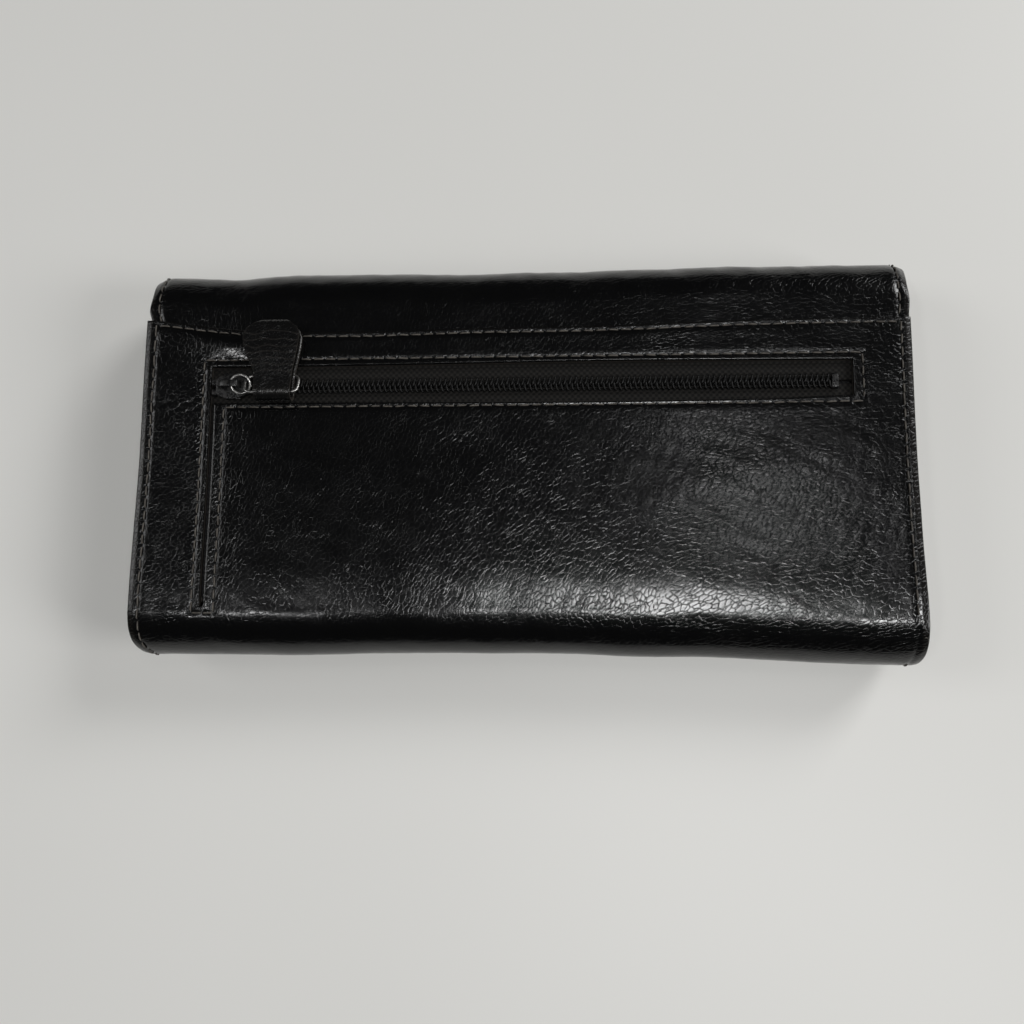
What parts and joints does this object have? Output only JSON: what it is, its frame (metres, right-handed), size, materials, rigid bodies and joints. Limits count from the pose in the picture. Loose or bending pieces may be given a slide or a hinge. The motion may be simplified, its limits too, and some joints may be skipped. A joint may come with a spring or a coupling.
{
  "type": "flap wallet",
  "caption": "Long black leather flap wallet with a zip pocket and a slip pocket in its back panel, a leather zip pull, pleated sides and a divider.",
  "frame": {"origin": "centre of the closed wallet's bounding box, on the surface that the flap's outer face rests on", "axes": "+X along the wallet's length, from the closed zip slider towards the zip's far end; +Y towards the fold of the flap; +Z out of the back panel"},
  "size_m": [0.1876, 0.0976, 0.0279],
  "materials": {
    "leather_black": "glossy pebbled black leather",
    "lining_black": "plain woven black lining",
    "tape_black": "woven black zip tape",
    "coil_black": "black nylon coil",
    "board_grey": "grey stiffening board",
    "slider_black": "black painted die-cast metal",
    "gunmetal": "worn dark nickel wire and stampings"
  },
  "bodies": {
    "back": {"back_panel": "leather_black", "flap_anchor": "leather_black", "slip_pocket_lining": "lining_black", "zip_pocket_lining_outer": "lining_black", "zip_pocket_lining_inner": "lining_black", "back_stiffener": "board_grey", "back_lining": "lining_black", "bottom_lining": "lining_black", "gusset_left": "leather_black", "gusset_right": "leather_black", "zip_tape_upper": "tape_black", "zip_tape_lower": "tape_black", "zip_coil_upper": "coil_black", "zip_coil_lower": "coil_black", "zip_top_stop_upper": "gunmetal", "zip_top_stop_lower": "gunmetal", "zip_bottom_stop": "gunmetal"},
    "flap_roll": {"flap_roll": "leather_black", "flap_roll_lining": "lining_black"},
    "flap": {"flap_panel": "leather_black", "flap_lining": "lining_black", "snap_socket": "gunmetal"},
    "front": {"front_panel": "leather_black", "front_stiffener": "board_grey", "front_lining": "lining_black", "snap_stud": "gunmetal", "snap_stud_washer": "gunmetal", "front_card_pocket_1": "leather_black", "front_card_pocket_2": "leather_black", "front_card_pocket_3": "leather_black"},
    "divider": {"divider_lining_front": "lining_black", "divider_board": "board_grey", "divider_lining_back": "lining_black", "divider_card_pocket_1": "leather_black", "divider_card_pocket_2": "leather_black", "divider_card_pocket_3": "leather_black"},
    "slider": {"slider_body": "slider_black"},
    "ring": {"pull_ring": "gunmetal"},
    "loop": {"pull_loop": "gunmetal"},
    "tab": {"pull_tab": "leather_black"}
  },
  "joints": [
    {"name": "flap_fold", "type": "hinge", "parent": "back", "child": "flap_roll", "pos_m": [0, 0.03775, 0.022], "axis": [1, 0, 0], "range_deg": [0, 90]},
    {"name": "flap_open", "type": "hinge", "parent": "flap_roll", "child": "flap", "pos_m": [0, 0.03775, 0], "axis": [1, 0, 0], "range_deg": [0, 90]},
    {"name": "front_open", "type": "hinge", "parent": "back", "child": "front", "pos_m": [0, -0.0383, 0.0026], "axis": [-1, 0, 0], "range_deg": [0, 14.06], "deforming": ["gusset_left", "gusset_right"]},
    {"name": "divider_open", "type": "hinge", "parent": "back", "child": "divider", "pos_m": [0, -0.0383, 0.0026], "axis": [-1, 0, 0], "range_deg": [0, 7.03]},
    {"name": "slider_travel", "type": "slide", "parent": "back", "child": "slider", "axis": [1, 0, 0], "range_m": [0, 0.138]},
    {"name": "ring_swing", "type": "hinge", "parent": "slider", "child": "ring", "pos_m": [-0.07085, 0.0163, 0.0256], "axis": [0, -1, 0], "range_deg": [0, 90]},
    {"name": "loop_swing", "type": "hinge", "parent": "ring", "child": "loop", "pos_m": [-0.06695, 0.0163, 0.02535], "axis": [0, -1, 0], "range_deg": [0, 35]},
    {"name": "tab_fold", "type": "hinge", "parent": "loop", "child": "tab", "pos_m": [-0.06695, 0.01409, 0.0264], "axis": [1, 0, 0], "range_deg": [0, 170]}
  ],
  "couplings": [
    {"joint": "flap_open", "follows": "flap_fold", "ratio": 1},
    {"joint": "front_open", "follows": "flap_fold", "ratio": 0.15625},
    {"joint": "divider_open", "follows": "flap_fold", "ratio": 0.078125}
  ]
}
